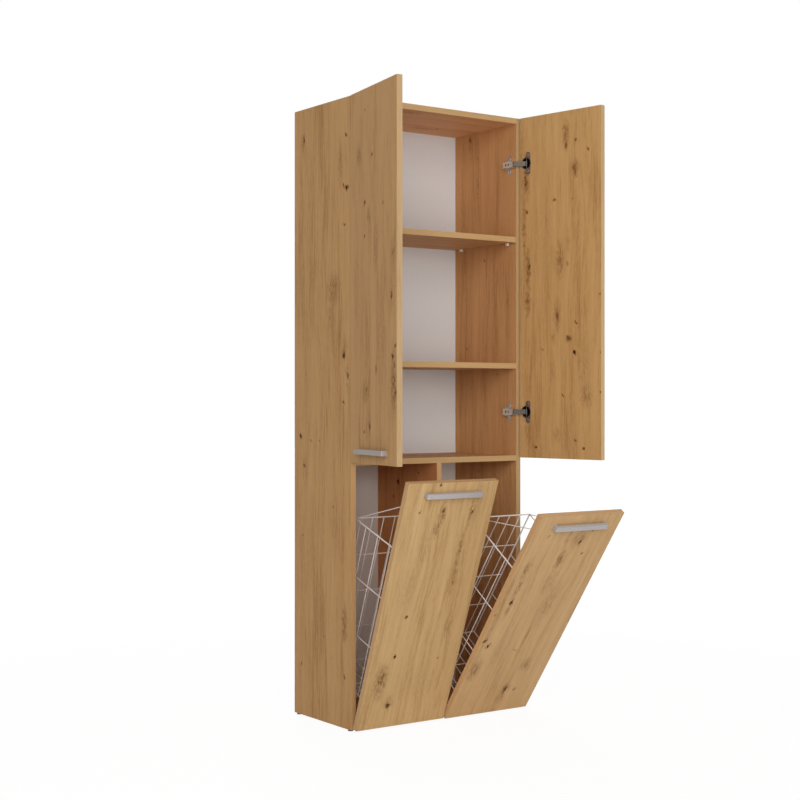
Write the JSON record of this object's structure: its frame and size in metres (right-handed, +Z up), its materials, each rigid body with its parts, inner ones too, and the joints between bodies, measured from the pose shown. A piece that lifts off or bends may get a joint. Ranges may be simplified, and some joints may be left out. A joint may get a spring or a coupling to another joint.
{
  "type": "bathroom storage tower",
  "caption": "Tall oak-look bathroom cabinet: hinged doors over shelves, and tilt-out fronts below that carry wire laundry baskets.",
  "frame": {"origin": "on the floor, against the wall, in the middle of the cabinet's width", "axes": "+X to the right as seen from the room, +Y from the room to the wall, +Z up"},
  "size_m": [0.7306, 0.7439, 1.74],
  "materials": {
    "oak_board": "wood-grain melamine on chipboard",
    "white_board": "painted hardboard",
    "white_plastic": "moulded",
    "black_plastic": "moulded",
    "beech": "plain",
    "zinc": "zinc plated",
    "nickel": "nickel plated",
    "handle_metal": "satin",
    "white_wire": "powder coated"
  },
  "bodies": {
    "cabinet": {"side_left": "oak_board", "side_right": "oak_board", "top_board": "oak_board", "bottom_board": "oak_board", "middle_board": "oak_board", "partition": "oak_board", "fixed_shelf": "oak_board", "loose_shelf": "oak_board", "back_upper": "white_board", "back_lower": "white_board", "shelf_pegs": "white_plastic", "dowels": "beech", "glides": "black_plastic", "back_nails": "zinc", "cam_bolts": "zinc", "cam_discs": "zinc", "door_plate_screws": "zinc", "door_arm_screws": "zinc", "tilt_plate_screws": "zinc", "tilt_arm_screws": "zinc", "door_hinge_plates": "nickel", "door_hinge_arms": "nickel", "tilt_hinge_plates": "nickel", "tilt_hinge_arms": "nickel"},
    "door_left": {"door_left_board": "oak_board", "door_left_handle": "handle_metal", "door_left_handle_screws": "zinc", "door_left_cups": "nickel", "door_left_cup_pins": "nickel", "door_left_cup_screws": "zinc"},
    "door_left_link_pair": {"door_left_links": "nickel"},
    "door_right": {"door_right_board": "oak_board", "door_right_handle": "handle_metal", "door_right_handle_screws": "zinc", "door_right_cups": "nickel", "door_right_cup_pins": "nickel", "door_right_cup_screws": "zinc"},
    "door_right_link_pair": {"door_right_links": "nickel"},
    "tilt_left": {"tilt_left_board": "oak_board", "tilt_left_handle": "handle_metal", "tilt_left_handle_screws": "zinc", "tilt_left_cups": "nickel", "tilt_left_cup_pins": "nickel", "tilt_left_cup_screws": "zinc", "tilt_left_basket": "white_wire", "tilt_left_clips": "white_plastic", "tilt_left_clip_screws": "zinc"},
    "tilt_left_link_pair": {"tilt_left_links": "nickel"},
    "tilt_right": {"tilt_right_board": "oak_board", "tilt_right_handle": "handle_metal", "tilt_right_handle_screws": "zinc", "tilt_right_cups": "nickel", "tilt_right_cup_pins": "nickel", "tilt_right_cup_screws": "zinc", "tilt_right_basket": "white_wire", "tilt_right_clips": "white_plastic", "tilt_right_clip_screws": "zinc"},
    "tilt_right_link_pair": {"tilt_right_links": "nickel"}
  },
  "joints": [
    {"name": "door_left_swing", "type": "hinge", "parent": "cabinet", "child": "door_left", "pos_m": [-0.2985, -0.31, 1.237], "axis": [0, 0, -1], "range_deg": [-100, 0]},
    {"name": "door_right_swing", "type": "hinge", "parent": "cabinet", "child": "door_right", "pos_m": [0.2985, -0.31, 1.237], "axis": [0, 0, 1], "range_deg": [-100, 0]},
    {"name": "door_left_link_turn", "type": "hinge", "parent": "door_left", "child": "door_left_link_pair", "pos_m": [-0.29823, -0.33036, 1.237], "axis": [0, 0, -1], "range_deg": [-1, 56]},
    {"name": "door_right_link_turn", "type": "hinge", "parent": "door_right", "child": "door_right_link_pair", "pos_m": [0.29823, -0.33036, 1.237], "axis": [0, 0, 1], "range_deg": [-1, 56]},
    {"name": "tilt_left_swing", "type": "hinge", "parent": "cabinet", "child": "tilt_left", "pos_m": [-0.15, -0.319, -0.007], "axis": [1, 0, 0], "range_deg": [-20, 15]},
    {"name": "tilt_right_swing", "type": "hinge", "parent": "cabinet", "child": "tilt_right", "pos_m": [0.15, -0.319, -0.007], "axis": [1, 0, 0], "range_deg": [-35, 0]},
    {"name": "tilt_left_link_turn", "type": "hinge", "parent": "tilt_left", "child": "tilt_left_link_pair", "pos_m": [-0.15, -0.31809, 0.02792], "axis": [1, 0, 0], "range_deg": [-12, 16]},
    {"name": "tilt_right_link_turn", "type": "hinge", "parent": "tilt_right", "child": "tilt_right_link_pair", "pos_m": [0.15, -0.32716, 0.02696], "axis": [1, 0, 0], "range_deg": [-1, 27]}
  ],
  "couplings": [
    {"joint": "door_left_link_turn", "follows": "door_left_swing", "ratio": -0.547},
    {"joint": "door_right_link_turn", "follows": "door_right_swing", "ratio": -0.547},
    {"joint": "tilt_left_link_turn", "follows": "tilt_left_swing", "ratio": -0.743},
    {"joint": "tilt_right_link_turn", "follows": "tilt_right_swing", "ratio": -0.743}
  ]
}
